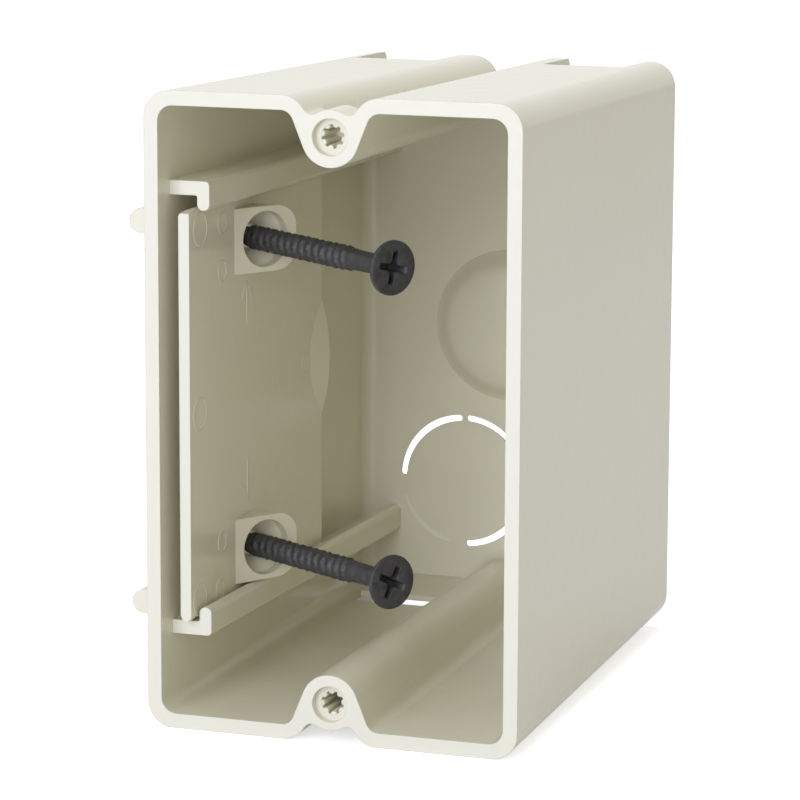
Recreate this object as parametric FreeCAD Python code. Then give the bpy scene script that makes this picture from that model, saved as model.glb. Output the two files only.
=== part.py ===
import FreeCAD, Part

import math
import os

# New work outlet box, one gang, with a sliding stud plate and two screws.
# Millimetres. X runs right, Y runs into the box from the open front, Z is up.
# The origin is midway between the two device screw holes, in the front plane.

# Overall body
device_spacing = 83.34
hole_to_edge = 5.83
body_height = device_spacing + 2 * hole_to_edge
body_width = 57.7
body_depth = 86.4
wall = 2.2
back_wall = 2.4
draft_slope = math.tan(math.radians(1.1))
outer_corner = 4.0
inner_corner = 2.3
inner_back_round = 2.0
outer_back_chamfer = 0.8

# Device screw bosses and the channels behind them
boss_radius = 4.4
boss_outer_radius = 3.95
boss_blend = 1.4
boss_length = 7.6
boss_end_chamfer = 0.8
device_recess_radius = 2.7
device_recess_depth = 1.3
device_hole_radius = 1.75
channel_lean = 22.0
shoulder_round = 2.0

# Rails for the stud plate, on the inside of the left wall
rail_front = 4.2
rail_reach = 6.25
rail_thickness = 2.1
lip_thickness = 1.9
rail_top = 33.9
rail_bottom = -34.1
lip_drop = 4.3
rail_corner = 0.7
rail_nook = 0.3
rail_root_round = 0.05
rail_root_depth = 0.5

# Stud plate: a web that stands off the wall, with runners along both edges
running_gap = 0.2
web_stand_off = 2.15
web_thickness = 1.7
web_height = 61.6
web_edge_cut = 0.95
web_edge_break = 0.28
web_lower_cut = 0.6
plate_front = 2.3
plate_rear = 54.5
lead_in_length = 3.4
lead_in_fall = 0.5
plate_rear_cut = 0.8
runner_start = 24.0
lower_runner_height = 1.5
pad_front = 19.05
pad_length = 10.2
pad_height = 10.0
pad_corner = 3.3
pad_tilt = 31.0
upper_pad_level = 22.95
lower_pad_level = -24.6
head_seat_radius = 4.25
head_seat_depth = 1.6
head_cone_depth = 2.0
screw_hole_radius = 2.0
collar_radius = 3.1
collar_clearance = 0.3
grip_length = 18.9
grip_reach = 4.9
grip_rise = 1.4
grip_level = 0.1

# Screws
screw_length = 38.1
screw_engaged = 4.1
screw_head_radius = 4.05
screw_head_edge = 0.5
screw_head_height = 3.3
screw_neck_radius = 1.5
screw_thread_radius = 1.9
screw_neck_length = 8.5
screw_point = 5.0
upper_screw_drop = 1.5
lower_screw_drop = 0.0
drive_span = 2.3
drive_width = 1.0
drive_depth = 1.9

# Slots the screws pass through on their way to the stud
slot_front = 22.5
slot_rear = 53.5
slot_height = 5.4

# Stud ears
ear_front = 9.5
ear_rear = 12.7
ear_reach = 6.6
ear_height = 3.7
ear_draft_slope = math.tan(math.radians(1.5))
upper_ear_level = 26.9
lower_ear_level = -31.1

# Cable clamps in the four rear corners
clamp_inner = 9.2
clamp_outer = 22.4
clamp_length = 12.0
flap_gap = 1.3
flap_side_gap = 0.4
flap_thickness = 0.9
flap_below_edge = 4.95
flap_fall = 1.1
flap_clearance_below = 1.5
flap_clearance_behind = 0.5

# Back wall features
knockout_x = -7.6
knockout_z = -25.0
knockout_radius = 11.2
knockout_slit_width = 1.1
knockout_bridge_width = 0.7
knockout_skin = 0.7
knockout_relief = 0.8
dome_z = 1.7
dome_radius = 11.9
dome_edge_width = 1.5
dome_edge_rise = 0.85
dome_shoulder_width = 2.8
dome_rise = 1.4
dome_hollow_radius = 11.0
dome_hollow_depth = 1.0


def vec(x, y, z):
    return FreeCAD.Vector(x, y, z)


def rounded_wire(corners, y):
    """Closed wire in the plane Y = y through corners (x, z, radius)."""
    count = len(corners)
    starts = []
    ends = []
    mids = []
    for i in range(count):
        x0, z0, _ = corners[i - 1]
        x1, z1, radius = corners[i]
        x2, z2, _ = corners[(i + 1) % count]
        to_last = vec(x0 - x1, 0, z0 - z1)
        to_next = vec(x2 - x1, 0, z2 - z1)
        to_last.normalize()
        to_next.normalize()
        half = to_last.getAngle(to_next) / 2
        corner = vec(x1, y, z1)
        reach = radius / math.tan(half)
        inward = to_last + to_next
        inward.normalize()
        centre = corner + inward * (radius / math.sin(half))
        starts.append(corner + to_last * reach)
        ends.append(corner + to_next * reach)
        mids.append(centre - inward * radius)
    edges = []
    for i in range(count):
        edges.append(Part.Arc(starts[i], mids[i], ends[i]).toShape())
        edges.append(Part.makeLine(ends[i], starts[(i + 1) % count]))
    return Part.Wire(edges)


def section(y, inset, notch_radius):
    """Corners (x, z) of the body at depth y, with a notch at the top and bottom centre."""
    half_width = body_width / 2 - inset - draft_slope * y
    half_height = body_height / 2 - inset - draft_slope * y
    lean = math.radians(channel_lean)
    hole_level = device_spacing / 2
    tip = hole_level - notch_radius / math.sin(lean)
    side = (notch_radius + (half_height - hole_level) * math.sin(lean)) / math.cos(lean)
    top = [
        (half_width, half_height),
        (side, half_height),
        (0, tip),
        (-side, half_height),
        (-half_width, half_height),
    ]
    return top + [(-x, -z) for x, z in top]


def drafted_solid(y_front, y_rear, inset, corner_radius, notch_radius, shoulder):
    """Body-shaped solid with flat drafted walls and its long edges rounded."""
    near = [vec(x, y_front, z) for x, z in section(y_front, inset, notch_radius)]
    far = [vec(x, y_rear, z) for x, z in section(y_rear, inset, notch_radius)]
    faces = [
        Part.Face(Part.makePolygon(near + near[:1])),
        Part.Face(Part.makePolygon(far + far[:1])),
    ]
    for i in range(len(near)):
        wall_corners = [near[i - 1], near[i], far[i], far[i - 1], near[i - 1]]
        faces.append(Part.Face(Part.makePolygon(wall_corners)))
    shell = Part.makeShell(faces)
    shell.sewShape()
    solid = Part.makeSolid(shell)
    radii = 2 * [corner_radius, shoulder, notch_radius, shoulder, corner_radius]
    for radius in (corner_radius, shoulder, notch_radius):
        chosen = []
        for start, end, wanted in zip(near, far, radii):
            if wanted == radius:
                chosen += edges_between(solid, start, end)
        solid = solid.makeFillet(radius, chosen)
    return solid


def outer_solid():
    """Outside of the body, drafted from the rim to the back wall."""
    return drafted_solid(
        0, body_depth, 0, outer_corner, boss_radius - wall, shoulder_round + wall)


def inner_solid():
    """Room inside the body, with a rounded foot all round at the back wall."""
    depth = body_depth - back_wall
    room = drafted_solid(-1, depth, wall, inner_corner, boss_radius, shoulder_round)
    return room.makeFillet(inner_back_round, edges_at_depth(room, depth))


def edges_between(shape, start, end):
    """Edges of a shape that run from one point to another."""
    found = []
    for edge in shape.Edges:
        ends = [vertex.Point for vertex in edge.Vertexes]
        for first, last in (ends, ends[::-1]):
            if first.distanceToPoint(start) < 0.01 and last.distanceToPoint(end) < 0.01:
                found.append(edge)
    return found


def edges_at_depth(shape, y):
    """Edges of a shape that lie wholly in the plane Y = y."""
    found = []
    for edge in shape.Edges:
        box = edge.BoundBox
        if abs(box.YMin - y) < 0.01 and abs(box.YMax - y) < 0.01:
            found.append(edge)
    return found


def left_wall_inside(y):
    """X of the inside face of the left wall at depth y."""
    return -body_width / 2 + wall + draft_slope * y


def along_wall(face, y_from, y_to):
    """Sweep a face at depth y_from along the left wall, which leans inwards."""
    run = y_to - y_from
    return face.extrude(vec(draft_slope * run, run, 0))


def rail(level, direction):
    """L-shaped rail; direction is -1 when the lip hangs down, 1 when it stands up."""
    x0 = left_wall_inside(rail_front) - rail_root_depth
    x1 = left_wall_inside(rail_front) + rail_reach
    x2 = x1 - lip_thickness
    z0 = level
    z1 = level + direction * rail_thickness
    z2 = level + direction * lip_drop
    tip = lip_thickness / 2 - rail_root_round
    corners = [
        (x0, z0, rail_root_round),
        (x1, z0, rail_corner),
        (x1, z2, tip),
        (x2, z2, tip),
        (x2, z1, rail_nook),
        (x0, z1, rail_root_round),
    ]
    if direction > 0:
        corners.reverse()
    face = Part.Face(rounded_wire(corners, rail_front))
    return along_wall(face, rail_front, body_depth - back_wall / 2)


def boss_blend_centre():
    """Centre (x, height over the hole) of the blend between a boss and the shoulder beside it."""
    lean = math.radians(channel_lean)
    shoulder = shoulder_round + wall
    shoulder_height = hole_to_edge - shoulder
    shoulder_x = boss_radius - wall + shoulder + shoulder_height * math.sin(lean)
    shoulder_x = shoulder_x / math.cos(lean)
    apart = math.hypot(shoulder_x, shoulder_height)
    to_boss = boss_outer_radius + boss_blend
    to_shoulder = shoulder + boss_blend
    along = (to_boss ** 2 - to_shoulder ** 2 + apart ** 2) / (2 * apart)
    across = math.sqrt(to_boss ** 2 - along ** 2)
    x = (along * shoulder_x - across * shoulder_height) / apart
    height = (along * shoulder_height + across * shoulder_x) / apart
    share = shoulder / to_shoulder
    foot_x = shoulder_x + (x - shoulder_x) * share
    foot_height = shoulder_height + (height - shoulder_height) * share
    return x, height, foot_x, foot_height


def screw_boss(side):
    """Short boss that fills the channel behind a device screw hole, blended into its sides."""
    x, height, foot_x, foot_height = boss_blend_centre()
    share = boss_outer_radius / (boss_outer_radius + boss_blend)
    mid_x = (foot_x + x * share) / 2 - x
    mid_height = (foot_height + height * share) / 2 - height
    reach = boss_blend / math.hypot(mid_x, mid_height)
    right = [
        (foot_x, foot_height),
        (x + mid_x * reach, height + mid_height * reach),
        (x * share, height * share),
    ]
    hole_level = device_spacing / 2
    points = [vec(px, 0, hole_level + pz) for px, pz in right]
    points.append(vec(0, 0, hole_level + boss_outer_radius))
    points += [vec(-px, 0, hole_level + pz) for px, pz in reversed(right)]
    arcs = [Part.Arc(*points[i:i + 3]).toShape() for i in (0, 2, 4)]
    low_left = vec(-foot_x, 0, hole_level - boss_outer_radius)
    low_right = vec(foot_x, 0, hole_level - boss_outer_radius)
    sides = [
        Part.makeLine(points[-1], low_left),
        Part.makeLine(low_left, low_right),
        Part.makeLine(low_right, points[0]),
    ]
    boss = Part.Face(Part.Wire(arcs + sides)).extrude(vec(0, boss_length, 0))
    ends = edges_at_depth(boss, boss_length)
    curved = [edge for edge in ends if edge.Curve.TypeId != "Part::GeomLine"]
    boss = boss.makeChamfer(boss_end_chamfer, curved)
    if side < 0:
        boss = boss.mirror(vec(0, 0, 0), vec(0, 0, 1))
    return boss


def device_hole(side):
    """Through hole for the device screw, with a wider recess at its mouth."""
    hole_level = side * device_spacing / 2
    recess = Part.makeCylinder(
        device_recess_radius, device_recess_depth + 1, vec(0, -1, hole_level), vec(0, 1, 0))
    hole = Part.makeCylinder(
        device_hole_radius, boss_length + 2, vec(0, -1, hole_level), vec(0, 1, 0))
    return recess.fuse(hole)


def ear(level):
    """Stud ear with a half-round end, standing out of the left wall."""
    root = -body_width / 2 + wall / 2
    tip = -body_width / 2 - ear_reach
    reach = root - tip
    radius = ear_height / 2
    plan = Part.Face(Part.makePolygon([
        vec(root, ear_front, level - radius),
        vec(tip, ear_front + ear_draft_slope * reach, level - radius),
        vec(tip, ear_rear, level - radius),
        vec(root, ear_rear, level - radius),
        vec(root, ear_front, level - radius),
    ]))
    bar = plan.extrude(vec(0, 0, ear_height))
    thickness = ear_rear - ear_front
    arm = Part.makeBox(reach - radius, thickness, ear_height)
    arm.translate(vec(tip + radius, ear_front, level - radius))
    end = Part.makeCylinder(radius, thickness, vec(tip + radius, ear_front, level), vec(0, 1, 0))
    return bar.common(arm.fuse(end))


def screw_slot(level):
    """Slot with round ends through the left wall."""
    radius = slot_height / 2
    length = slot_rear - slot_front - slot_height
    x = -body_width / 2 - 1
    bar = Part.makeBox(wall + 4, length, slot_height)
    bar.translate(vec(x, slot_front + radius, level - radius))
    slot = bar
    for y in (slot_front + radius, slot_rear - radius):
        slot = slot.fuse(Part.makeCylinder(radius, wall + 4, vec(x, y, level), vec(1, 0, 0)))
    return slot


def clamp_opening(side, hand):
    """Notch in the top or bottom wall (side) on the left or right (hand)."""
    width = clamp_outer - clamp_inner
    x = clamp_inner if hand > 0 else -clamp_outer
    flap_rear_level = body_height / 2 - flap_below_edge - flap_fall
    above = flap_below_edge + flap_fall + 1
    notch = Part.makeBox(width, clamp_length, above + flap_clearance_below)
    notch.translate(vec(
        x, body_depth - back_wall - clamp_length, flap_rear_level - flap_clearance_below))
    behind = Part.makeBox(width, back_wall + 1, above)
    behind.translate(vec(
        x, body_depth - back_wall - flap_clearance_behind, flap_rear_level + flap_thickness))
    tool = notch.fuse(behind)
    if side < 0:
        tool = tool.mirror(vec(0, 0, 0), vec(0, 0, 1))
    return tool


def clamp_flap(side, hand):
    """Thin flap from the back wall that closes a clamp opening but for a slit."""
    x = clamp_inner if hand > 0 else -clamp_outer
    y0 = body_depth - back_wall - clamp_length + flap_gap
    y1 = body_depth - back_wall / 2
    slope = flap_fall / (clamp_length - flap_gap)
    z0 = body_height / 2 - flap_below_edge
    z1 = z0 - slope * (y1 - y0)
    points = [
        vec(0, y0, z0),
        vec(0, y1, z1),
        vec(0, y1, z1 + flap_thickness),
        vec(0, y0, z0 + flap_thickness),
        vec(0, y0, z0),
    ]
    face = Part.Face(Part.makePolygon(points))
    width = clamp_outer - clamp_inner - 2 * flap_side_gap
    flap = face.extrude(vec(width, 0, 0))
    flap.translate(vec(x + flap_side_gap, 0, 0))
    if side < 0:
        flap = flap.mirror(vec(0, 0, 0), vec(0, 0, 1))
    return flap


def knockout_slits():
    """Three arc slits with round ends round the knockout; the fourth is left closed."""
    y0 = body_depth - back_wall
    depth = back_wall + 2
    middle = knockout_radius - knockout_slit_width / 2
    half_width = knockout_slit_width / 2
    gap = math.degrees((knockout_bridge_width / 2 + half_width) / middle)
    centre = vec(knockout_x, y0 - 1, knockout_z)
    span = 90 - 2 * gap
    slits = []
    for wanted in (45, 135, 315):
        outer = Part.makeCylinder(knockout_radius, depth, centre, vec(0, 1, 0), span)
        inner = Part.makeCylinder(
            knockout_radius - knockout_slit_width, depth, centre, vec(0, 1, 0), span)
        slit = outer.cut(inner)
        first = slit.BoundBox.Center - centre
        turn = math.degrees(math.atan2(first.z, first.x))
        slit.rotate(centre, vec(0, 1, 0), turn - wanted)
        for end in (wanted - span / 2, wanted + span / 2):
            angle = math.radians(end)
            place = centre + vec(middle * math.cos(angle), 0, middle * math.sin(angle))
            slit = slit.fuse(Part.makeCylinder(half_width, depth, place, vec(0, 1, 0)))
        slits.append(slit)
    return slits


def knockout_groove():
    """Groove round the outside of the knockout that leaves a thin skin at the slits."""
    centre = vec(knockout_x, body_depth - back_wall + knockout_skin, knockout_z)
    outer = Part.makeCylinder(
        knockout_radius + knockout_relief, back_wall, centre, vec(0, 1, 0))
    inner_radius = knockout_radius - knockout_slit_width - knockout_relief
    return outer.cut(Part.makeCylinder(inner_radius, back_wall, centre, vec(0, 1, 0)))


def gate_dome():
    """Low round dome on the inside of the back wall: steep edge, shoulder and flat crown."""
    inside = body_depth - back_wall
    root = inside + back_wall / 4
    edge_radius = dome_radius - dome_edge_width
    crown_radius = edge_radius - dome_shoulder_width
    profile = Part.makePolygon([
        vec(0, root, dome_z),
        vec(dome_radius, root, dome_z),
        vec(dome_radius, inside, dome_z),
        vec(edge_radius, inside - dome_edge_rise, dome_z),
        vec(crown_radius, inside - dome_rise, dome_z),
        vec(0, inside - dome_rise, dome_z),
        vec(0, root, dome_z),
    ])
    return Part.Face(profile).revolve(vec(0, 0, dome_z), vec(0, 1, 0), 360)


def dome_hollow():
    """Shallow round hollow on the outside of the back wall, behind the dome."""
    sphere_radius = (dome_hollow_radius ** 2 + dome_hollow_depth ** 2) / (2 * dome_hollow_depth)
    centre = vec(0, body_depth - dome_hollow_depth + sphere_radius, dome_z)
    ball = Part.makeSphere(sphere_radius, centre)
    keep = Part.makeCylinder(
        dome_hollow_radius,
        2 * dome_hollow_depth,
        vec(0, body_depth - dome_hollow_depth, dome_z),
        vec(0, 1, 0))
    return keep.common(ball)


def box_body():
    """The moulded body: shell, bosses, rails, ears, clamps and knockout in one."""
    outside = outer_solid()
    shell = outside.fuse([screw_boss(1), screw_boss(-1)]).removeSplitter()
    shell = shell.makeChamfer(outer_back_chamfer, edges_at_depth(shell, body_depth))
    shell = shell.cut(inner_solid())
    shell = shell.fuse(gate_dome()).cut(dome_hollow())
    shell = shell.fuse([rail(rail_top, -1), rail(rail_bottom, 1)])
    shell = shell.fuse([ear(upper_ear_level), ear(lower_ear_level)])
    cuts = [device_hole(1), device_hole(-1)]
    cuts += [screw_slot(upper_pad_level), screw_slot(lower_pad_level)]
    flaps = []
    for side in (1, -1):
        for hand in (1, -1):
            cuts.append(clamp_opening(side, hand))
            flaps.append(clamp_flap(side, hand))
    cuts += knockout_slits() + [knockout_groove()]
    shell = shell.cut(cuts)
    shell = shell.fuse(flaps)
    return shell.removeSplitter()


def pad_normal(drop=0.0):
    """Direction a screw points out of its pad, towards the open front."""
    tilt = math.radians(pad_tilt)
    fall = math.radians(drop)
    level = math.cos(fall)
    return vec(level * math.cos(tilt), -level * math.sin(tilt), -math.sin(fall))


def plate_inside(y):
    """X of the face of the stud plate that looks into the box."""
    return left_wall_inside(y) + web_stand_off + web_thickness


def pad_centre(level):
    """Centre of the sloping face of a screw pad."""
    y = pad_front + pad_length / 2
    x = plate_inside(pad_front) + pad_length / 2 * math.tan(math.radians(pad_tilt))
    return vec(x, y, level)


def screw_pad(level):
    """Wedge with a D outline whose face looks towards the open front."""
    x0 = plate_inside(pad_front) - 0.5
    half = pad_height / 2
    y0 = pad_front
    y1 = pad_front + pad_length
    bulge = pad_corner * (1 - math.sqrt(0.5))
    points = [
        vec(x0, y0, level - half),
        vec(x0, y1 - pad_corner, level - half),
        vec(x0, y1 - bulge, level - half + bulge),
        vec(x0, y1, level - half + pad_corner),
        vec(x0, y1, level + half - pad_corner),
        vec(x0, y1 - bulge, level + half - bulge),
        vec(x0, y1 - pad_corner, level + half),
        vec(x0, y0, level + half),
    ]
    outline = Part.Wire([
        Part.makeLine(points[0], points[1]),
        Part.Arc(points[1], points[2], points[3]).toShape(),
        Part.makeLine(points[3], points[4]),
        Part.Arc(points[4], points[5], points[6]).toShape(),
        Part.makeLine(points[6], points[7]),
        Part.makeLine(points[7], points[0]),
    ])
    block = Part.Face(outline).extrude(vec(10, 0, 0))
    rise = pad_length * math.tan(math.radians(pad_tilt))
    wedge_points = [
        vec(x0, y0, level - half - 1),
        vec(x0 + 0.5, y0, level - half - 1),
        vec(x0 + 0.5 + rise, y1, level - half - 1),
        vec(x0, y1, level - half - 1),
        vec(x0, y0, level - half - 1),
    ]
    wedge = Part.Face(Part.makePolygon(wedge_points)).extrude(vec(0, 0, pad_height + 2))
    return block.common(wedge)


def head_seat(level):
    """Recess for the screw head, a cone below it and the screw hole."""
    normal = pad_normal()
    centre = pad_centre(level)
    mouth_base = centre - normal * head_seat_depth
    mouth = Part.makeCylinder(head_seat_radius, head_seat_depth + 6, mouth_base, normal)
    cone_base = centre - normal * (head_seat_depth + head_cone_depth)
    cone = Part.makeCone(screw_hole_radius, head_seat_radius, head_cone_depth, cone_base, normal)
    hole = Part.makeCylinder(screw_hole_radius, 14, cone_base - normal * 8, normal)
    return mouth.fuse([cone, hole])


def finger_grip():
    """Low raised lip at the middle of the plate's rear edge."""
    radius = (grip_length ** 2 / 4 + grip_rise ** 2) / (2 * grip_rise)
    pitch = math.atan(grip_rise / grip_reach)
    x_rear = plate_inside(plate_rear)
    axis = vec(math.sin(pitch), math.cos(pitch), 0)
    across = vec(math.cos(pitch), -math.sin(pitch), 0)
    top = vec(x_rear + grip_rise, plate_rear, grip_level)
    centre = top - across * radius - axis * 14
    roller = Part.makeCylinder(radius, 28, centre, axis)
    x0 = x_rear - web_thickness / 2
    y0 = plate_rear - grip_reach - 2
    z0 = grip_level - grip_length / 2 - 3
    keep = Part.makeBox(x_rear + grip_rise + 1 - x0, plate_rear - y0, grip_length + 6)
    keep.translate(vec(x0, y0, z0))
    return roller.common(keep)


def runner(low, high):
    """Bar along one edge of the plate that fills the channel of a rail."""
    x0 = left_wall_inside(runner_start) + running_gap
    x1 = left_wall_inside(runner_start) + rail_reach - lip_thickness - running_gap
    face = Part.Face(Part.makePolygon([
        vec(x0, runner_start, low),
        vec(x1, runner_start, low),
        vec(x1, runner_start, high),
        vec(x0, runner_start, high),
        vec(x0, runner_start, low),
    ]))
    return along_wall(face, runner_start, plate_rear)


def screw_collar(level):
    """Collar round a screw hole on the wall side of the web, clear of the wall."""
    normal = pad_normal()
    base = pad_centre(level) - normal * pad_length
    collar = Part.makeCylinder(collar_radius, pad_length, base, normal)
    y0 = pad_front - pad_length
    y1 = pad_front + 2 * pad_length
    low = level - pad_height / 2
    x0 = left_wall_inside(y0) + collar_clearance
    x1 = left_wall_inside(y0) + web_stand_off + web_thickness / 2
    gap = Part.Face(Part.makePolygon([
        vec(x0, y0, low),
        vec(x1, y0, low),
        vec(x1, y0, low + pad_height),
        vec(x0, y0, low + pad_height),
        vec(x0, y0, low),
    ]))
    return collar.common(along_wall(gap, y0, y1))


def web_corner_cut(y, z, fall, length, run):
    """Tool for a sloping corner of the web; run is 1 at the front, -1 at the rear."""
    down = -1 if z > 0 else 1
    x = -body_width / 2
    over = web_thickness
    steepness = fall / length
    face = Part.Face(Part.makePolygon([
        vec(x, y - run * over, z + down * (fall + over * steepness)),
        vec(x, y + run * (length + over), z - down * over * steepness),
        vec(x, y + run * (length + over), z - down * over),
        vec(x, y - run * over, z - down * over),
        vec(x, y - run * over, z + down * (fall + over * steepness)),
    ]))
    return face.extrude(vec(body_width / 2, 0, 0))


def slider_plate():
    """The stud plate: web, two runners, two screw pads and the finger grip."""
    bottom = rail_bottom + rail_thickness + running_gap
    top = bottom + web_height
    x0 = left_wall_inside(plate_front) + web_stand_off
    x1 = x0 + web_thickness
    web = Part.Face(Part.makePolygon([
        vec(x0 + web_edge_cut, plate_front, bottom),
        vec(x1 - web_lower_cut, plate_front, bottom),
        vec(x1, plate_front, bottom + web_lower_cut),
        vec(x1, plate_front, top),
        vec(x0 + web_edge_cut, plate_front, top),
        vec(x0 + web_edge_break, plate_front, top - web_edge_break),
        vec(x0, plate_front, top - web_edge_cut),
        vec(x0, plate_front, bottom + web_edge_cut),
        vec(x0 + web_edge_break, plate_front, bottom + web_edge_break),
        vec(x0 + web_edge_cut, plate_front, bottom),
    ]))
    plate = along_wall(web, plate_front, plate_rear)
    plate = plate.cut(web_corner_cut(plate_front, top, lead_in_fall, lead_in_length, 1))
    upper_edge = rail_top - rail_thickness - running_gap
    plate = plate.fuse([
        runner(top - web_edge_cut, upper_edge),
        runner(bottom, bottom + lower_runner_height),
    ])
    plate = plate.cut([
        web_corner_cut(plate_rear, upper_edge, plate_rear_cut, plate_rear_cut, -1),
        web_corner_cut(plate_rear, bottom, plate_rear_cut, plate_rear_cut, -1),
    ])
    plate = plate.fuse([screw_pad(upper_pad_level), screw_pad(lower_pad_level), finger_grip()])
    plate = plate.fuse([screw_collar(upper_pad_level), screw_collar(lower_pad_level)])
    plate = plate.cut([head_seat(upper_pad_level), head_seat(lower_pad_level)])
    return plate.removeSplitter()


def screw(level, drop):
    """Flat head screw standing in its pad, as supplied, not yet driven home."""
    profile = [
        (0, screw_length),
        (screw_head_radius, screw_length),
        (screw_head_radius, screw_length - screw_head_edge),
        (2.6, screw_length - 0.55 * screw_head_height),
        (screw_neck_radius, screw_length - screw_head_height),
        (screw_neck_radius, screw_length - screw_neck_length),
        (screw_thread_radius, screw_length - screw_neck_length - 0.8),
        (screw_thread_radius, screw_point),
        (0.25, 0.2),
        (0, 0),
    ]
    points = [vec(x, 0, z) for x, z in profile]
    points.append(points[0])
    turned = Part.Face(Part.makePolygon(points)).revolve(vec(0, 0, 0), vec(0, 0, 1), 360)
    for angle in (0, 90):
        slot = Part.makeBox(2 * drive_span, drive_width, drive_depth + 1)
        slot.translate(vec(-drive_span, -drive_width / 2, screw_length - drive_depth))
        slot.rotate(vec(0, 0, 0), vec(0, 0, 1), angle)
        turned = turned.cut(slot)
    seat = pad_centre(level) - pad_normal() * (head_seat_depth + head_cone_depth)
    axis = pad_normal(drop)
    tip = seat - axis * screw_engaged
    turned.Placement = FreeCAD.Placement(tip, FreeCAD.Rotation(vec(0, 0, 1), axis))
    return turned


os.makedirs("parts", exist_ok=True)
box_body().exportStep("parts/box_body.step")
slider_plate().exportStep("parts/slider_plate.step")
screw(upper_pad_level, upper_screw_drop).exportStep("parts/upper_screw.step")
screw(lower_pad_level, lower_screw_drop).exportStep("parts/lower_screw.step")
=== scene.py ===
import math

import bmesh
import bpy
from mathutils import Matrix, Vector


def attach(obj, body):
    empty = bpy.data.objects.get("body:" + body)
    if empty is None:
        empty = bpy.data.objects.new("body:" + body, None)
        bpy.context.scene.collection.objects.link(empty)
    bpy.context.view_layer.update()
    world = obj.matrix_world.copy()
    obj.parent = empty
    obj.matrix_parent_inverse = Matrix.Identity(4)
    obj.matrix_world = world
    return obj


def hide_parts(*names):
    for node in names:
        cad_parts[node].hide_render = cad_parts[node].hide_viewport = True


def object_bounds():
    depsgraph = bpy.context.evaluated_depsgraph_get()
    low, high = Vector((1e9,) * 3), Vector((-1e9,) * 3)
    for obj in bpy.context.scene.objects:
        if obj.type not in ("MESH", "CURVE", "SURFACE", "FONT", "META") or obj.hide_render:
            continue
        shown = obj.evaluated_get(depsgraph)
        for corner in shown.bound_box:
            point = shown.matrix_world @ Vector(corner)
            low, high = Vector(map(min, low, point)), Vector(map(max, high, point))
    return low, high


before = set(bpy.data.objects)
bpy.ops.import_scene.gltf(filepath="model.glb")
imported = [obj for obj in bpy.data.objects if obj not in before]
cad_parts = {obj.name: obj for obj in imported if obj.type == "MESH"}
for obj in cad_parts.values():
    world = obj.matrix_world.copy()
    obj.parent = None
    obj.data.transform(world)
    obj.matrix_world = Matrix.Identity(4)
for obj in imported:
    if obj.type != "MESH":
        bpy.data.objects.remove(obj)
cad_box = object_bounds()
scene = bpy.context.scene

# The camera stands where the photograph was taken from: in front of the open
# side, to the right and a little above, with a long lens.
eye = Vector((0.18986, -0.50581, 0.10310))
turn = 0.340315
dip = 0.181956
roll = -0.003855
sensor_width = 36.0
frame_pixels = 800
lens_pixels = 3810.13
focal_length = lens_pixels / frame_pixels * sensor_width
ahead = Vector((
    -math.sin(turn) * math.cos(dip),
    math.cos(turn) * math.cos(dip),
    -math.sin(dip),
))
level_right = Vector((math.cos(turn), math.sin(turn), 0))
level_down = ahead.cross(level_right)
camera_right = math.cos(roll) * level_right + math.sin(roll) * level_down
camera_down = math.cos(roll) * level_down - math.sin(roll) * level_right
lens = bpy.data.cameras.new("photo_lens")
lens.sensor_width = sensor_width
lens.lens = focal_length
lens.clip_start = 0.01
lens.clip_end = 20
camera = bpy.data.objects.new("photo_camera", lens)
axes = Matrix((camera_right, -camera_down, -ahead)).transposed().to_4x4()
camera.matrix_world = Matrix.Translation(eye) @ axes
scene.collection.objects.link(camera)
scene.camera = camera


# The box body is one injection moulding in warm off-white PVC. The mould is
# polished, so the walls are half glossy, with a faint ripple and the pale
# flow shades that such a moulding has.
class Shade:
    """A socket in a material, so that sums on it read as plain Python."""

    def __init__(self, tree, socket):
        self.tree = tree
        self.socket = socket

    def node(self, kind, settings=None, **values):
        """A node of a kind: its settings first, then the values of its sockets."""
        made = self.tree.nodes.new(kind)
        for name, value in (settings or {}).items():
            setattr(made, name, value)
        for name, value in values.items():
            plug(self.tree, made.inputs[name.replace("_", " ")], value)
        return made

    def sum(self, operation, *terms):
        made = self.tree.nodes.new("ShaderNodeMath")
        made.operation = operation
        for place, term in enumerate(terms):
            plug(self.tree, made.inputs[place], term)
        return Shade(self.tree, made.outputs[0])

    def __add__(self, other):
        return self.sum("ADD", self, other)

    __radd__ = __add__

    def __mul__(self, other):
        return self.sum("MULTIPLY", self, other)

    __rmul__ = __mul__

    def axis(self, letter):
        """One component of a vector."""
        made = self.node("ShaderNodeSeparateXYZ", Vector=self)
        return Shade(self.tree, made.outputs[letter])

    def below(self, limit, soft):
        """1 under a limit and 0 over it, with a soft step between."""
        made = self.node(
            "ShaderNodeMapRange",
            Value=self,
            From_Min=limit - soft,
            From_Max=limit + soft,
            To_Min=1.0,
            To_Max=0.0,
        )
        return Shade(self.tree, made.outputs["Result"])

    def blend(self, low, high):
        """Two colours mixed by this value; a Mix node's sockets share names."""
        made = self.node("ShaderNodeMix", {"data_type": "RGBA"})
        plug(self.tree, made.inputs[0], self)
        plug(self.tree, made.inputs[6], low)
        plug(self.tree, made.inputs[7], high)
        return Shade(self.tree, made.outputs[2])


def plug(tree, place, value):
    if isinstance(value, Shade):
        tree.links.new(value.socket, place)
    elif isinstance(value, tuple) and len(value) == 3 and place.type == "RGBA":
        place.default_value = (*value, 1)
    else:
        place.default_value = value


def new_finish(name):
    """An empty material: its shader and a Shade to start its sums from."""
    material = bpy.data.materials.new(name)
    material.use_nodes = True
    tree = material.node_tree
    shader = tree.nodes["Principled BSDF"]
    where = Shade(tree, None).node("ShaderNodeTexCoord")
    return material, shader, Shade(tree, where.outputs["Object"])


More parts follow.
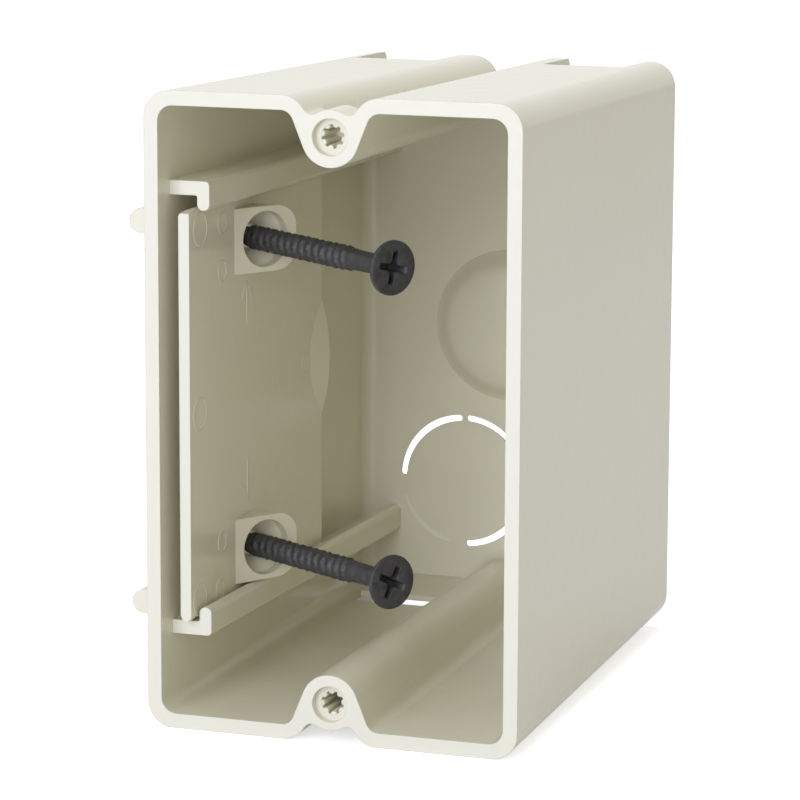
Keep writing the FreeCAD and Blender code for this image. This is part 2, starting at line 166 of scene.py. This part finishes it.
mm = 0.001
front_plane = cad_box[0][1]
flow_scale = 28.0
grain_scale = 420.0
shade_in_gloss = 0.04
edge_round = 0.22 * mm
ripple_strength = 0.10
ripple_height = 0.3 * mm
plastic_ior = 1.5
# The faces that look forward at the front of the rim, rails, plate and ears are
# painted a shade whiter, as a painted highlight for the light that falls square on them.
# The faces that look forward at the front of the rim, rails, plate and ears are a shade
# whiter in the photograph; whether light or mould does it isn't known.
rim_reach = 11 * mm
rim_fade = 0.5 * mm
rim_facing = -0.95
rim_facing_fade = 0.03
painted_front_highlight = (0.770, 0.748, 0.630)


def moulded_plastic(name, pale, warm, gloss):
    """Half glossy moulded plastic between a pale and a warmer tint.

    Its roughness stays below 0.27: across that value it renders with dark specks
    and contours.
    """
    material, shader, place = new_finish(name)
    tree = place.tree
    flow = place.node("ShaderNodeTexNoise", Vector=place, Scale=flow_scale, Detail=2.0)
    flow = Shade(tree, flow.outputs["Fac"])
    ways = place.node("ShaderNodeTexCoord")
    facing = Shade(tree, ways.outputs["Normal"]).axis("Y")
    painted_highlight_facing = facing.below(rim_facing, rim_facing_fade)
    at_front = place.axis("Y").below(front_plane + rim_reach, rim_fade)
    # Painted highlight: forward faces near the front take the whiter tint.
    colour = (painted_highlight_facing * at_front).blend(flow.blend(pale, warm), painted_front_highlight)
    plug(tree, shader.inputs["Base Color"], colour)
    grain = place.node("ShaderNodeTexNoise", Vector=place, Scale=grain_scale, Detail=2.0)
    grain = Shade(tree, grain.outputs["Fac"])
    roughness = gloss + shade_in_gloss * flow + shade_in_gloss * grain
    plug(tree, shader.inputs["Roughness"], roughness)
    edge = place.node("ShaderNodeBevel", {"samples": 4}, Radius=edge_round)
    ripple = place.node(
        "ShaderNodeBump",
        Strength=ripple_strength,
        Distance=ripple_height,
        Height=grain,
        Normal=Shade(tree, edge.outputs["Normal"]),
    )
    plug(tree, shader.inputs["Normal"], Shade(tree, ripple.outputs["Normal"]))
    shader.inputs["IOR"].default_value = plastic_ior
    return material


body_plastic = moulded_plastic(
    "box_off_white", (0.770, 0.742, 0.580), (0.750, 0.719, 0.550), 0.18)
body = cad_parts["box_body"]
body.data.materials.clear()
body.data.materials.append(body_plastic)

# Each device screw hole is moulded with eight half-round crush ribs, which the
# device screw cuts its thread in. They start at the foot of the round seat.
device_spacing = 83.34 * mm
rib_start = front_plane + 1.3 * mm
rib_end = front_plane + 7.55 * mm
rib_count = 8
hole_radius = 1.75 * mm
rib_radius = 0.45 * mm
rib_centre = 1.70 * mm
rib_lead_in = 0.25 * mm
rib_foot = 0.02 * mm
inside_wall = 0.05 * mm
rib_steps = 192


def link_piece(form, name, material, body_name, sharp=35.0):
    """Turn finished mesh work into a piece, smooth but for its sharp edges."""
    bmesh.ops.recalc_face_normals(form, faces=form.faces[:])
    mesh = bpy.data.meshes.new(name)
    form.to_mesh(mesh)
    form.free()
    mesh.polygons.foreach_set("use_smooth", [True] * len(mesh.polygons))
    mesh.set_sharp_from_angle(angle=math.radians(sharp))
    mesh.materials.append(material)
    piece = bpy.data.objects.new(name, mesh)
    scene.collection.objects.link(piece)
    bpy.context.view_layer.update()
    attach(piece, body_name)
    return piece


def bridge_rings(form, rings, closed=False):
    """Quads between rings of equally many vertices, each ring a closed loop."""
    pairs = list(zip(rings, rings[1:]))
    if closed:
        pairs.append((rings[-1], rings[0]))
    for near, far in pairs:
        for i, start in enumerate(near):
            j = (i + 1) % len(near)
            form.faces.new((start, near[j], far[j], far[i]))


def rib_outline(angle, first_valley, back):
    """Radius of the ribbed hole at an angle, its ribs set back by a distance."""
    pitch = 2 * math.pi / rib_count
    off = (angle - first_valley) % pitch - pitch / 2
    across = rib_centre * math.sin(off)
    radius = hole_radius
    if abs(across) < rib_radius:
        near_side = rib_centre * math.cos(off) - math.sqrt(rib_radius ** 2 - across ** 2)
        radius = min(hole_radius, near_side + back)
    return radius


def crush_ribs(name, level, first_valley):
    """A ring of ribs in the hole at a level; its first valley is in degrees."""
    form = bmesh.new()
    rings = []
    stations = [
        (rib_start + rib_foot, rib_lead_in),
        (rib_start + 0.10 * mm, rib_lead_in * 0.35),
        (rib_start + 0.30 * mm, 0),
        (rib_end, 0),
    ]
    for depth, back in stations:
        ring = []
        for i in range(rib_steps):
            angle = 2 * math.pi * i / rib_steps
            radius = rib_outline(angle, math.radians(first_valley), back)
            ring.append(form.verts.new((
                radius * math.cos(angle), depth, level + radius * math.sin(angle))))
        rings.append(ring)
    outer = hole_radius + inside_wall
    for depth in (rib_end, rib_start + rib_foot):
        rings.append([
            form.verts.new((
                outer * math.cos(2 * math.pi * i / rib_steps),
                depth,
                level + outer * math.sin(2 * math.pi * i / rib_steps),
            ))
            for i in range(rib_steps)
        ])
    bridge_rings(form, rings, closed=True)
    ribs = link_piece(form, name, body_plastic, "box")


crush_ribs("upper_crush_ribs", device_spacing / 2, 9.5)
crush_ribs("lower_crush_ribs", -device_spacing / 2, 28.0)

# The back wall swells into a low round dome, perhaps where it was fed in. Its
# edge runs out of the wall in a soft blend and its crown is almost flat.
back_plane = cad_box[1][1]
back_wall = 2.4 * mm
dome_level = 1.7 * mm
dome_profile = [
    (12.60, -0.05), (12.45, 0.01), (12.25, 0.07), (12.00, 0.20), (11.70, 0.42),
    (11.40, 0.68), (11.10, 0.96), (10.80, 1.23), (10.50, 1.49), (10.20, 1.72),
    (9.85, 1.94), (9.40, 2.14), (8.80, 2.32), (8.00, 2.46), (7.00, 2.57),
    (5.80, 2.64), (4.20, 2.69), (2.40, 2.72), (0.90, 2.73),
]
dome_steps = 144
dome_form = bmesh.new()
rings = []
for radius, rise in dome_profile:
    rings.append([
        dome_form.verts.new((
            radius * mm * math.cos(2 * math.pi * i / dome_steps),
            back_plane - back_wall - rise * mm,
            dome_level + radius * mm * math.sin(2 * math.pi * i / dome_steps),
        ))
        for i in range(dome_steps)
    ])
bridge_rings(dome_form, rings)
dome_form.faces.new(rings[0])
dome_form.faces.new(rings[-1])
link_piece(dome_form, "back_wall_dome", body_plastic, "box")

# Each clamp flap is joined along its inner side to a low step, moulded on the
# wall between the clamp slot and the central channel. It slopes as the flap does.
step_inner = 7.2 * mm
step_outer = 9.62 * mm
step_front = front_plane + 73.3 * mm
step_rear = front_plane + 84.3 * mm
step_top_front = 42.55 * mm
step_top_rear = 41.42 * mm
step_foot = 44.60 * mm
step_edge = 0.25 * mm
step_path = [
    (step_inner, 3 * step_edge),
    (step_inner + step_edge, 0.6 * step_edge),
    (step_inner + 3 * step_edge, 0.0),
    (step_outer, 0.0),
]
step_form = bmesh.new()
for side in (-1, 1):
    for hand in (-1, 1):
        sections = []
        for across, drop in step_path:
            sections.append([
                step_form.verts.new((hand * across, along, side * level))
                for along, level in (
                    (step_front, step_top_front + drop),
                    (step_rear, step_top_rear + drop),
                    (step_rear, step_foot),
                    (step_front, step_foot),
                )
            ])
        bridge_rings(step_form, sections)
        step_form.faces.new(sections[0])
        step_form.faces.new(sections[-1])
link_piece(step_form, "clamp_flap_steps", body_plastic, "box")

# Round the knockout, three slits are open and the fourth closed over in the mould
# with a thin skin. The skin is painted paler than the wall: painted light, for the
# light that shines through so thin a skin.
skin_glow_paint = moulded_plastic(
    "thin_skin_painted_glow", (0.860, 0.832, 0.690), (0.840, 0.812, 0.670), 0.18)
knockout_x = -7.6 * mm
knockout_level = -25.0 * mm
line_radius = 10.65 * mm
line_width = 1.00 * mm
line_rise = 0.012 * mm
line_from = 196.0
line_to = 258.0
line_steps = 48
line_narrowest = 0.3
line_fade_in = 2
line_fade_out = 4
line_section = [(-0.5, -3.0), (-0.5, 1.0), (0.0, 1.0), (0.5, 1.0), (0.5, -3.0)]
line_form = bmesh.new()
sections = []
for step in range(line_steps + 1):
    angle = math.radians(line_from + (line_to - line_from) * step / line_steps)
    steps_left = line_steps - step
    fade = min(1.0, line_fade_in * step / line_steps, line_fade_out * steps_left / line_steps)
    width = line_width * (line_narrowest + (1 - line_narrowest) * fade)
    section = []
    for across, rise in line_section:
        radius = line_radius + across * width
        section.append(line_form.verts.new((
            knockout_x + radius * math.cos(angle),
            back_plane - back_wall - rise * line_rise,
            knockout_level + radius * math.sin(angle),
        )))
    sections.append(section)
bridge_rings(line_form, sections)
line_form.faces.new(sections[0])
line_form.faces.new(sections[-1])
link_piece(line_form, "knockout_flash_line", skin_glow_paint, "box")

# The stud plate is a second moulding of the same plastic, a little glossier than
# the box. It slides in the two rails on the left wall.
plate_plastic = moulded_plastic(
    "plate_off_white", (0.790, 0.752, 0.580), (0.770, 0.730, 0.550), 0.15)
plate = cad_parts["slider_plate"]
plate.data.materials.clear()
plate.data.materials.append(plate_plastic)

# Where the ejector pins and inserts of its mould met the plate's face, they
# left thin raised rings. The face leans with the wall as it runs back.
draft_slope = 0.0192
face_at_front = -22.8 * mm
ring_width = 0.30 * mm
ring_height = 0.08 * mm
ring_steps = 72
ring_section = [
    (-0.5, -1.0), (-0.5, 0.0), (-0.25, 0.8), (0.0, 1.0), (0.25, 0.8), (0.5, 0.0), (0.5, -1.0),
]
pin_marks = [
    (6.39, 26.56, 2.45),
    (14.55, 26.42, 1.5),
    (14.46, 19.22, 1.5),
    (6.00, -0.98, 2.4),
    (13.99, -21.86, 1.5),
    (13.13, -29.11, 1.5),
    (5.61, -28.99, 2.4),
    (47.36, 0.01, 1.5),
]


def on_plate(along, level, proud):
    """Point on the plate's face, raised by a distance; lengths in metres."""
    x = face_at_front + draft_slope * (along - front_plane) + proud
    return x, along - draft_slope * proud, level


marks = bmesh.new()
for along, level, radius in pin_marks:
    rings = []
    for across, rise in ring_section:
        ring_radius = radius * mm + across * ring_width
        rings.append([
            marks.verts.new(on_plate(
                front_plane + along * mm + ring_radius * math.cos(2 * math.pi * i / ring_steps),
                level * mm + ring_radius * math.sin(2 * math.pi * i / ring_steps),
                rise * ring_height,
            ))
            for i in range(ring_steps)
        ])
    bridge_rings(marks, rings, closed=True)
link_piece(marks, "plate_pin_marks", plate_plastic, "slider")

# Two plain arrows in low relief point to the screws. They are cut in the same
# mould, so each stroke is a low bar with broken edges.
arrow_width = 0.45 * mm
arrow_rise = 0.09 * mm
arrow_head = 2.1 * mm
arrow_along = 23.85 * mm
barb_share = 1.3
arrow_section = [(-1.0, -0.3), (-0.8, 0.8), (-0.5, 1.0), (0.5, 1.0), (0.8, 0.8), (1.0, -0.3)]


def arrow_strokes(form, tip, end):
    """Shaft and open head of an arrow on the plate, each stroke a low bar."""
    way = 1 if tip > end else -1
    barb = tip - way * arrow_head * barb_share
    strokes = [
        ((arrow_along, end), (arrow_along, tip - way * arrow_width)),
        ((arrow_along - arrow_head, barb), (arrow_along, tip)),
        ((arrow_along + arrow_head, barb), (arrow_along, tip)),
    ]
    for start, stop in strokes:
        run = Vector((stop[0] - start[0], stop[1] - start[1]))
        side = Vector((-run.y, run.x)).normalized() * arrow_width / 2
        sections = []
        for along, level in (start, stop):
            section = []
            for across, rise in arrow_section:
                section.append(form.verts.new(on_plate(
                    front_plane + along + across * side.x,
                    level + across * side.y,
                    rise * arrow_rise,
                )))
            sections.append(section)
        bridge_rings(form, sections)
        form.faces.new(sections[0])
        form.faces.new(sections[1])


arrows = bmesh.new()
arrow_strokes(arrows, 16.35 * mm, 9.9 * mm)
arrow_strokes(arrows, -17.3 * mm, -10.8 * mm)
link_piece(arrows, "plate_arrows", plate_plastic, "slider")

# The two mounting screws are cold headed and thread rolled steel with a black
# phosphate coat, oiled, so the thread crests catch a grey light. They stand
# in the plate's pads as supplied, not yet driven home.
coat_black = (0.020, 0.020, 0.021)
coat_grey = (0.105, 0.103, 0.106)
coat_scale = 1100.0
coat_depth = 0.1 * mm
screw_steel, screw_shader, screw_place = new_finish("black_phosphate")
tree = screw_place.tree
mottle = screw_place.node(
    "ShaderNodeTexNoise", Vector=screw_place, Scale=coat_scale, Detail=3.0)
mottle = Shade(tree, mottle.outputs["Fac"])
plug(tree, screw_shader.inputs["Base Color"], mottle.blend(coat_black, coat_grey))
plug(tree, screw_shader.inputs["Roughness"], 0.42 + 0.3 * mottle)
screw_shader.inputs["Metallic"].default_value = 0.45
coat_bump = screw_place.node(
    "ShaderNodeBump", Strength=0.6, Distance=coat_depth, Height=mottle)
plug(tree, screw_shader.inputs["Normal"], Shade(tree, coat_bump.outputs["Normal"]))

screw_length = 38.1 * mm
pad_tilt = math.radians(31.0)
neck_length = 8.5 * mm
core_radius = 1.55 * mm
crest_radius = 1.90 * mm
thread_pitch = 1.65 * mm
point_length = 5.0 * mm
point_radius = 0.25 * mm
point_ridge = 0.25
run_out = 1.6 * mm
point_taper = 0.8
crest_share = 0.42
crest_roundness = 1.6
thread_wear = 0.35
coat_grain = 0.022 * mm
screw_steps = 96
rows_a_turn = 14
head_profile = [
    (1.50, 3.30), (1.56, 2.95), (1.80, 2.55), (2.18, 2.18), (2.60, 1.80), (3.00, 1.43),
    (3.40, 1.08), (3.75, 0.76), (3.97, 0.58), (4.04, 0.50), (4.05, 0.44), (4.05, 0.10),
    (4.03, 0.04), (3.97, 0.00), (3.60, 0.00), (3.20, 0.00), (2.95, 0.00),
]
recess_span = 2.55 * mm
recess_arm = 0.52 * mm
recess_inner = 1.0 * mm
recess_depth = 2.9 * mm
recess_mouth = [
    (1.06, 0.000), (1.00, 0.012), (0.94, 0.08), (0.86, 0.45), (0.71, 0.80), (0.52, 1.00),
]


def thread_radius(turns, height):
    """Radius of the shank: a worn round ridge on the core, faded at both ends."""
    core = core_radius
    if height < point_length:
        swell = (height / point_length) ** point_taper
        core = point_radius + (core_radius - point_radius) * swell
    phase = abs((height / thread_pitch - turns) % 1 - 0.5) / crest_share
    ridge = max(0.0, 1 - phase ** 2) ** crest_roundness * (crest_radius - core_radius)
    from_neck = screw_length - neck_length - height
    near_neck = min(1.0, max(0.0, from_neck / run_out))
    near_point = min(1.0, point_ridge + height / point_length)
    fade = near_neck * near_point
    # Waves that never fall into step make the wear and the coat's pits uneven.
    spin = 2 * math.pi * turns
    rise = height / thread_pitch
    wear = math.sin(9 * spin + 4.1 * rise) * math.sin(5 * spin - 7.3 * rise)
    pits = math.sin(14 * spin - 19.0 * rise) * math.sin(11 * spin + 13.7 * rise)
    worn_ridge = ridge * (1 - thread_wear * (0.5 + 0.5 * wear))
    return core + (worn_ridge + coat_grain * pits) * fade


def cross_radius(angle, span, arm, inner):
    """Outline of the cross recess: four arms of a width, with filled corners."""
    reach = inner
    level = abs(math.cos(angle))
    upright = abs(math.sin(angle))
    for across, along in ((level, upright), (upright, level)):
        if along < across:
            edge = min(span / across, arm / max(along, 1e-6))
            reach = max(reach, edge)
    return reach


def threaded_screw(name, node, drop, cross_turn):
    """A threaded screw where a plain one stands, its cross turned by degrees."""
    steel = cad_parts[node]
    fall = math.radians(drop)
    out = Vector((
        math.cos(fall) * math.cos(pad_tilt),
        -math.cos(fall) * math.sin(pad_tilt),
        -math.sin(fall),
    ))
    tip = min((corner.co for corner in steel.data.vertices), key=out.dot).copy()
    up = (Vector((0, 0, 1)) - out * out.z).normalized()
    right = up.cross(out)
    turn = math.radians(cross_turn)
    form = bmesh.new()

    def ring(radius_at, height):
        made = []
        for i in range(screw_steps):
            angle = 2 * math.pi * i / screw_steps
            radius = radius_at(angle)
            spin = angle - turn
            made.append(form.verts.new(
                tip + out * height + radius * (right * math.cos(spin) + up * math.sin(spin))))
        return made

    rings = []
    row = thread_pitch / rows_a_turn
    shank = screw_length - neck_length
    rows = int(shank / row)
    for i in range(rows + 1):
        height = shank * i / rows
        rings.append(ring(lambda angle: thread_radius(angle / (2 * math.pi), height), height))
    for radius, below in head_profile:
        rings.append(ring(lambda angle: radius * mm, screw_length - below * mm))
    for share, depth in recess_mouth:
        size = (recess_span * share, recess_arm * (0.55 + 0.45 * share), recess_inner * share)
        rings.append(ring(
            lambda angle: cross_radius(angle, *size), screw_length - recess_depth * depth))
    bridge_rings(form, rings)
    form.faces.new(rings[0])
    form.faces.new(rings[-1])
    screw = link_piece(form, name, screw_steel, "slider", sharp=40.0)
    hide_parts(node)


threaded_screw("upper_screw_steel", "upper_screw", 1.5, 12.0)
threaded_screw("lower_screw_steel", "lower_screw", 0.0, 27.0)

# The box stands on a plain pale table in a white studio. The table keeps the
# object's shadow, and looks white to the camera and pale in the plastic's gloss.
floor_size = 3.0
floor_seen = (0.62, 0.62, 0.62)
floor_mirrored = (0.28, 0.28, 0.28)
floor_mesh = bpy.data.meshes.new("studio_floor")
floor_form = bmesh.new()
bmesh.ops.create_grid(floor_form, x_segments=1, y_segments=1, size=floor_size)
floor_form.to_mesh(floor_mesh)
floor_form.free()
floor = bpy.data.objects.new("studio_floor", floor_mesh)
floor.location = (0, 0, cad_box[0][2])
scene.collection.objects.link(floor)
floor_paint, floor_shader, floor_place = new_finish("studio_white")
tree = floor_place.tree
floor_shader.inputs["Base Color"].default_value = (0.80, 0.80, 0.80, 1)
floor_shader.inputs["Roughness"].default_value = 0.9
rays = floor_place.node("ShaderNodeLightPath")
seen = Shade(tree, rays.outputs["Is Camera Ray"])
mirrored = Shade(tree, rays.outputs["Is Glossy Ray"])
glow = seen.blend(mirrored.blend((0, 0, 0), floor_mirrored), floor_seen)
plug(tree, floor_shader.inputs["Emission Color"], glow)
floor_shader.inputs["Emission Strength"].default_value = 1.0
floor_mesh.materials.append(floor_paint)

# The walls of the studio are white where they are seen, straight or mirrored,
# and give a weaker, slightly warm light to the rest.
ambient = 0.42
ambient_tint = (1.0, 0.98, 0.90)
studio = bpy.data.worlds.new("white_studio")
scene.world = studio
studio.use_nodes = True
tree = studio.node_tree
backdrop = tree.nodes["Background"]
rays = Shade(tree, None).node("ShaderNodeLightPath")
seen = Shade(tree, rays.outputs["Is Camera Ray"])
mirrored = Shade(tree, rays.outputs["Is Glossy Ray"])
through = Shade(tree, rays.outputs["Is Transmission Ray"])
shown = seen.sum("MAXIMUM", seen, mirrored.sum("MAXIMUM", mirrored, through))
plug(tree, backdrop.inputs["Strength"], ambient + (1 - ambient) * shown)
plug(tree, backdrop.inputs["Color"], shown.blend(ambient_tint, (1, 1, 1)))

# Two square soft boxes, in front and overhead, give the studio light.
lamp_tint = (0.93, 0.965, 1.12)
lamp_aim = (0, 0.03, 0)


def soft_lamp(name, place, width, power):
    light = bpy.data.lights.new(name, "AREA")
    light.shape = "SQUARE"
    light.size = width
    light.energy = power
    light.color = lamp_tint
    lamp = bpy.data.objects.new(name, light)
    lamp.location = place
    way = Vector(lamp_aim) - Vector(place)
    lamp.rotation_euler = way.to_track_quat("-Z", "Y").to_euler()
    scene.collection.objects.link(lamp)


soft_lamp("front_softbox", (-0.13, -1.20, 0.40), 1.0, 11.6)
soft_lamp("top_softbox", (-0.1, 0.10, 1.1), 0.8, 4.5)

scene.view_settings.view_transform = "Standard"
